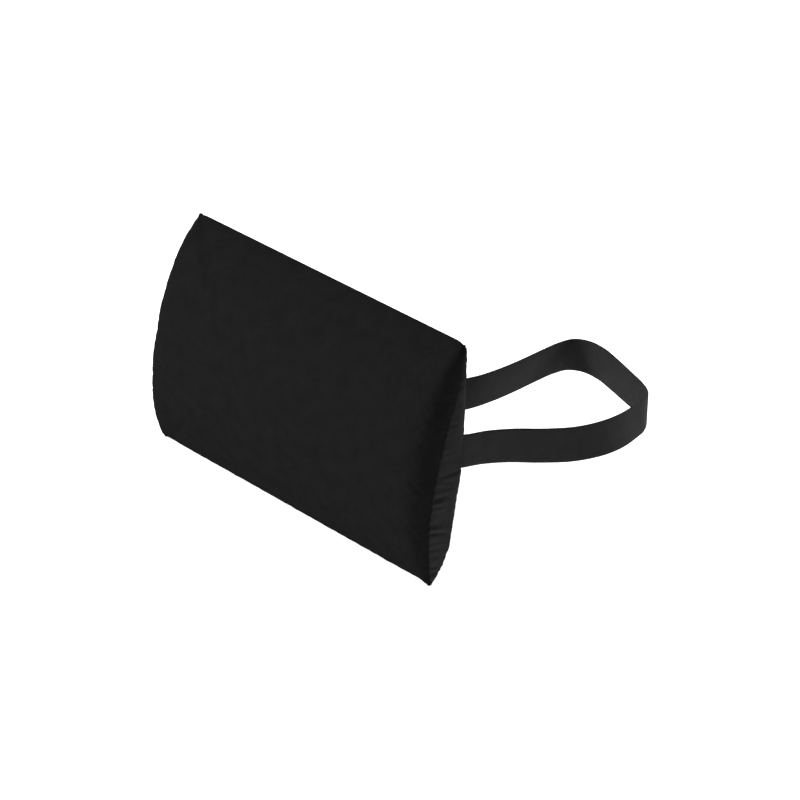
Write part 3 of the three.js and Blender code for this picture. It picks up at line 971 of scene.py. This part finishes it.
def strap_grid():
    """The section carried along the route, with its width up and its thickness sideways.

    Along its outer leg the loop leans: the width turns towards the inner side by the lean times
    exp(-((distance along the band - place) / spread)^2).
    """
    along = np.gradient(strap_line, axis=0)
    along /= np.linalg.norm(along, axis=1, keepdims=True)
    aside = np.stack([-along[:, 1], along[:, 0], np.zeros(len(along))], -1)
    section = strap_section()
    centre = np.column_stack([strap_line, np.full(len(strap_line), STRAP_HEIGHT)])
    lean = LEAN * np.exp(-(((strap_at - LEAN_PLACE) / LEAN_SPREAD) ** 2))[:, None]
    up = np.cos(lean) * [0, 0, 1.0] + np.sin(lean) * aside
    aside = np.cos(lean) * aside - np.sin(lean) * [0, 0, 1.0]
    return centre[:, None] + section[None, :, :1] * up[:, None] + section[None, :, 1:] * aside[:, None]


strap_points = strap_grid()
ring_count, ring_size = strap_points.shape[:2]
ring_uv = run_length(np.pad(strap_section(), ((0, 0), (0, 1)))[None], 1)[0]
strap_uv = np.stack(np.broadcast_arrays(strap_at[:, None], ring_uv[None, :]), axis=-1)
strap_quads = grid_faces(ring_count, ring_size, round_columns=True)
half_ring = ring_size // 2
first_end = np.stack([[k, k + 1, ring_size - k - 1, (ring_size - k) % ring_size] for k in range(half_ring)])
last_end = first_end[:, ::-1] + (ring_count - 1) * ring_size
strap_quads = np.concatenate([strap_quads, first_end, last_end])
strap = mesh_object("strap_band", strap_points.reshape(-1, 3), strap_quads, strap_elastic,
                    strap_uv.reshape(-1, 2))
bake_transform(strap)
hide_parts("strap")
print("strap:", len(strap_quads), "quads")

# %% [markdown]
# ## The zipper
#
# A real coil is a nylon wire wound into flattened loops along each tape, and the loops of one side pass
# between those of the other. Each side is a tube along a squashed helix, with six-sided wire so that the
# hundreds of loops stay light. Each tape is a plain strip with a small bead. The slider, the pull and the
# stops are CAD solids with sharp edges, so copies of them get a fine bevel.


# %% The coils
COIL_PITCH = 1.5 * MM
WIRE_RADIUS = 0.27 * MM


def tube(path, radius, sides):
    """Rings of points round a path, on a frame that keeps one axis as near to X as it can."""
    along = np.gradient(path, axis=0)
    along /= np.linalg.norm(along, axis=1, keepdims=True)
    out = np.cross(along, [1.0, 0, 0])
    out /= np.maximum(np.linalg.norm(out, axis=1, keepdims=True), 1e-9)
    other = np.cross(along, out)
    turn = np.linspace(0, 2 * np.pi, sides, endpoint=False)
    ring = np.cos(turn)[None, :, None] * out[:, None] + np.sin(turn)[None, :, None] * other[:, None]
    return path[:, None] + radius * ring


def closed_tube_quads(rings, sides):
    """Quads of a tube, with both ends closed."""
    quads = grid_faces(rings, sides, round_columns=True)
    half = sides // 2
    cap = np.array([[k, k + 1, sides - k - 1, (sides - k) % sides] for k in range(half)])
    return np.concatenate([quads, cap, cap[:, ::-1] + (rings - 1) * sides])


def coil(name, side, node):
    """Half of the chain: a helix along X, flattened to the coil's box, that reaches past the centre line.

    Round each loop the wire goes out across the tape and back over itself. The two halves are half a pitch
    apart, so each loop's nose lies between two noses of the other half.
    """
    low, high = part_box(node)
    turns = int((high.x - low.x - 2 * MM) / COIL_PITCH)
    points_per_turn = 12
    angle = np.linspace(0, 2 * np.pi * turns, turns * points_per_turn + 1)
    shift = 0.25 if side > 0 else -0.25
    x = (angle / (2 * np.pi) - turns / 2 + shift) * COIL_PITCH
    nose, heel = -0.45 * MM, coil_high.z - ZIPPER_HEIGHT - WIRE_RADIUS
    z = ZIPPER_HEIGHT + side * ((nose + heel) / 2 + (heel - nose) / 2 * np.cos(angle))
    half_thick = (high.y - low.y) / 2 - WIRE_RADIUS
    y = (high.y + low.y) / 2 + half_thick * np.clip(1.25 * np.sin(angle), -1, 1)
    path = np.stack([x, y, z], -1)
    rings = tube(path, WIRE_RADIUS, 6)
    piece = mesh_object(name, rings.reshape(-1, 3), closed_tube_quads(len(path), 6), coil_nylon)
    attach(piece, "cushion")
    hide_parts(node)
    return piece


upper_coil = coil("coil_upper", 1, "zipper_coil_upper")
lower_coil = coil("coil_lower", -1, "zipper_coil_lower")
print("coil loops on each side:", int((coil_high.x - coil_low.x - 2 * MM) / COIL_PITCH))


# %% Slider, pull and stops
def bevelled_copy(name, node, body, material, width):
    """A copy of a CAD solid with its triangles joined, flats made whole, and a fine round on each edge."""
    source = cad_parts[node]
    mesh = source.data.copy()
    mesh.name = name
    piece = bpy.data.objects.new(name, mesh)
    bpy.context.scene.collection.objects.link(piece)
    mesh.materials.clear()
    mesh.materials.append(material)
    bm = bmesh.new()
    bm.from_mesh(mesh)
    bmesh.ops.remove_doubles(bm, verts=bm.verts, dist=0.01 * MM)
    bmesh.ops.dissolve_limit(bm, angle_limit=math.radians(1), verts=bm.verts, edges=bm.edges)
    bm.to_mesh(mesh)
    bm.free()
    bevel = piece.modifiers.new("edge", "BEVEL")
    bevel.width = width
    bevel.segments = 3
    bevel.limit_method = "ANGLE"
    bevel.angle_limit = math.radians(30)
    mesh.polygons.foreach_set("use_smooth", np.full(len(mesh.polygons), True))
    weighted = piece.modifiers.new("shading", "WEIGHTED_NORMAL")
    weighted.keep_sharp = True
    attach(piece, body)
    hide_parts(node)
    return piece


bevelled_copy("slider_body", "zipper_slider", "slider", painted_metal, 0.22 * MM)
bevelled_copy("pull_tab", "zipper_pull", "pull", painted_metal, 0.25 * MM)
for stop in ("zipper_top_stop_upper", "zipper_top_stop_lower", "zipper_bottom_stop"):
    clip_name = stop.replace("zipper_", "") + "_clip"
    bevelled_copy(clip_name, stop, "cushion", painted_metal, 0.3 * MM)
print("bevelled copies made")


# %% The tapes
def tape_strip(name, node, side):
    """A woven strip whose height rises in a small bead near its outer edge."""
    low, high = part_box(node)
    x = np.linspace(low.x, high.x, 120)
    inner, outer = (low.z, high.z) if side > 0 else (high.z, low.z)
    s = np.linspace(0, 1, 13)
    z = inner + (outer - inner) * s
    top = high.y - 0.12 * MM + 0.12 * MM * np.exp(-(((s - 0.9) / 0.06) ** 2))
    loop_z = np.concatenate([z, z[::-1]])
    loop_y = np.concatenate([top, np.full(13, low.y)])
    points = np.empty((len(x), 26, 3))
    points[..., 0] = x[:, None]
    points[..., 1] = loop_y
    points[..., 2] = loop_z
    uv = np.stack(np.broadcast_arrays(x[:, None], loop_z[None]), -1)
    quads = grid_faces(len(x), 26, round_columns=True, flip=side < 0)
    cap = np.array([[k, k + 1, 24 - k, 25 - k] for k in range(12)])
    cap = cap if side > 0 else cap[:, ::-1]
    quads = np.concatenate([quads, cap, cap[:, ::-1] + (len(x) - 1) * 26])
    piece = mesh_object(name, points.reshape(-1, 3), quads, zipper_tape, uv.reshape(-1, 2), smooth=False)
    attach(piece, "cushion")
    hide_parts(node)
    return piece


tape_strip("tape_upper", "zipper_tape_upper", 1)
tape_strip("tape_lower", "zipper_tape_lower", -1)

# %% [markdown]
# ## Stitches
#
# A row of lockstitches holds the hem to the tapes all round the slot. One stitch is a short thread that
# dips into the cloth at both ends, so a small arched tube is made once and copied to each place by array
# arithmetic: every copy is the same points turned to its direction and moved.


# %% Stitches round the slot
STITCH_LENGTH, STITCH_GAP, THREAD_RADIUS = 2.6 * MM, 0.6 * MM, 0.2 * MM


def one_stitch():
    """An arched tube along X: its height is half a sine, and its ends are below the surface."""
    s = np.linspace(-1, 1, 7)
    path = np.stack([s * STITCH_LENGTH / 2, 0.32 * MM * np.cos(s * np.pi / 2) - 0.12 * MM, np.zeros(7)], -1)
    along = np.gradient(path, axis=0)
    along /= np.linalg.norm(along, axis=1, keepdims=True)
    side = np.array([0, 0, 1.0])
    out = np.cross(side, along)
    turn = np.linspace(0, 2 * np.pi, 6, endpoint=False)
    ring = np.cos(turn)[None, :, None] * out[:, None] + np.sin(turn)[None, :, None] * side
    return path[:, None] + THREAD_RADIUS * ring


def slot_stitch_places():
    """Centres and directions of the stitches on a rectangle outside the slot by the stitch inset."""
    a, b = SLOT_HALF_LENGTH + STITCH_INSET, SLOT_HALF_HEIGHT + STITCH_INSET
    step = STITCH_LENGTH + STITCH_GAP
    xs = (np.arange(int(2 * a / step)) + 0.5) * step
    xs = xs - xs.mean()
    zs = (np.arange(int(2 * b / step)) + 0.5) * step
    zs = zs - zs.mean()
    level = [np.stack([xs, np.full_like(xs, s * b)], -1) for s in (-1, 1)]
    upright = [np.stack([np.full_like(zs, s * a), zs], -1) for s in (-1, 1)]
    centres = np.concatenate(level + upright)
    turned = np.concatenate([np.zeros(2 * len(xs)), np.full(2 * len(zs), np.pi / 2)])
    return centres, turned


centres, turned = slot_stitch_places()
stitch = one_stitch().reshape(-1, 3)
cosine, sine = np.cos(turned)[:, None], np.sin(turned)[:, None]
stitch_points = np.stack([
    centres[:, :1] + stitch[:, 0] * cosine - stitch[:, 2] * sine,
    0.1 * MM + np.broadcast_to(stitch[:, 1], (len(centres), len(stitch))),
    ZIPPER_HEIGHT + centres[:, 1:] + stitch[:, 0] * sine + stitch[:, 2] * cosine,
], axis=-1)
stitch_quads = closed_tube_quads(7, 6)
offsets = (np.arange(len(centres)) * len(stitch))[:, None, None]
slot_stitching = mesh_object("slot_stitching", stitch_points.reshape(-1, 3),
                             (stitch_quads[None] + offsets).reshape(-1, 4), sewing_thread)
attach(slot_stitching, "cushion")
print("stitches round the slot:", len(centres))

# %% [markdown]
# ## The floor
#
# The floor is a plain pale sheet under the cushion's lowest point.

# %% Floor
FLOOR_HALF = 20.0
floor_height = min(cad_box[0][2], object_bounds()[0].z) - 0.2 * MM
floor_corners = np.array([[-1, -1], [1, -1], [-1, 1], [1, 1]]) * FLOOR_HALF
floor_points = np.column_stack([floor_corners, np.full(4, floor_height)])
floor_finish, floor_shader = start_material("floor_paper", (0.9, 0.9, 0.9), 0.9, specular=0.0)
floor_shader.inputs["Emission Color"].default_value = (1, 1, 1, 1)
floor_shader.inputs["Emission Strength"].default_value = 0.75
floor_place = add(floor_finish, "ShaderNodeTexCoord").outputs["Object"]
floor_grain = noise(floor_finish, floor_place, 60.0)
finish_material(floor_finish, floor_shader, floor_grain, 0.05 * MM,
                mix_colors(floor_finish, floor_grain, (0.9, 0.9, 0.9), (0.93, 0.93, 0.93)))
floor = mesh_object("floor", floor_points, np.array([[0, 1, 3, 2]]), floor_finish)
